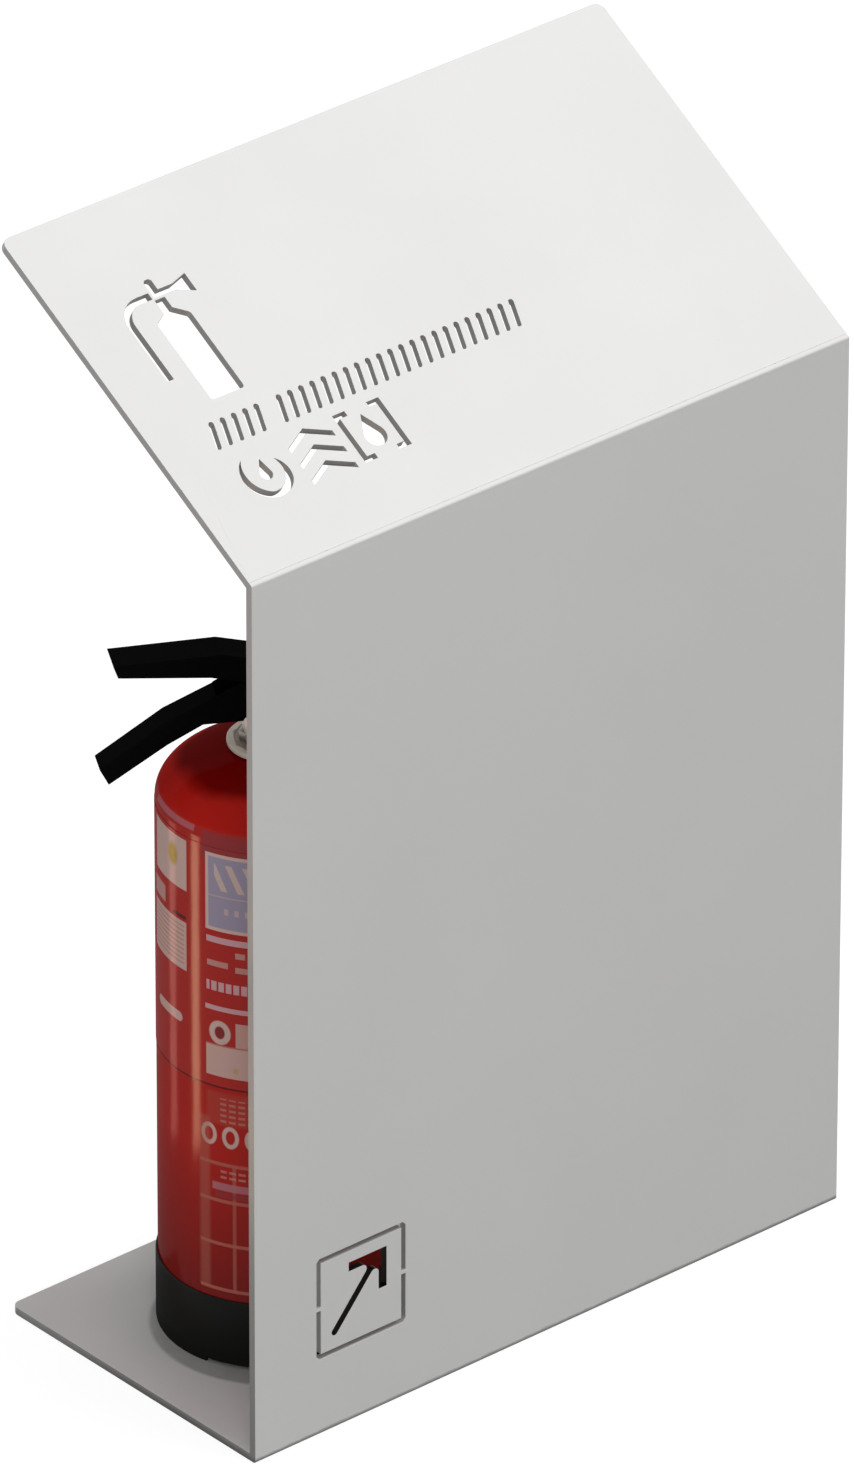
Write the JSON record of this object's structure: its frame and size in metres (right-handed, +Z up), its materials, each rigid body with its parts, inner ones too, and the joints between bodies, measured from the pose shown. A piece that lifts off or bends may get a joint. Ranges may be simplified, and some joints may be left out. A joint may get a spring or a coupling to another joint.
{
  "type": "fire extinguisher cabinet",
  "caption": "Floor stand folded from one painted sheet, with a sloping stencilled sign panel, holding a dry powder extinguisher with a squeeze lever.",
  "frame": {"origin": "on the floor, at the middle of the stand's width and depth", "axes": "+X to the right seen from the front, +Y from the front panel towards the open back, +Z up"},
  "size_m": [0.5, 0.2455, 0.7893],
  "materials": {
    "sheet_paint": "satin light grey powder coat",
    "foot_plastic": "satin black moulded plastic",
    "cylinder_paint": "gloss red enamel",
    "powder": "dry powder",
    "label_print": "printed film",
    "neck_steel": "turned steel",
    "collar_plastic": "light moulded plastic",
    "valve_brass": "nickel plated brass",
    "gauge_metal": "polished",
    "dial_face": null,
    "lens_clear": "clear",
    "lever_paint": "satin black paint",
    "rivet_steel": "plain steel"
  },
  "bodies": {
    "stand": {"base_plate": "sheet_paint", "front_panel": "sheet_paint", "sign_panel": "sheet_paint"},
    "extinguisher": {"foot_ring": "foot_plastic", "cylinder_shell": "cylinder_paint", "powder_charge": "powder", "label_film": "label_print", "neck_boss": "neck_steel", "neck_collar": "collar_plastic", "valve_body": "valve_brass", "valve_stem": "valve_brass", "gauge_stem": "valve_brass", "gauge_case": "gauge_metal", "gauge_dial": "dial_face", "gauge_lens": "lens_clear", "outlet_nipple": "valve_brass", "carry_handle": "lever_paint", "handle_rivet": "rivet_steel", "lever_rivet": "rivet_steel"},
    "lever": {"operating_lever": "lever_paint"}
  },
  "joints": [
    {"name": "extinguisher_slide", "type": "slide", "parent": "stand", "child": "extinguisher", "axis": [-1, 0, 0], "range_m": [0, 0.4]},
    {"name": "lever_squeeze", "type": "hinge", "parent": "extinguisher", "child": "lever", "pos_m": [-0.11114, -0.002, 0.48735], "axis": [-0.5, -0.866, 0], "range_deg": [0, 12], "stiffness_Nm_per_rad": 1.3, "springref_deg": -17.19}
  ]
}
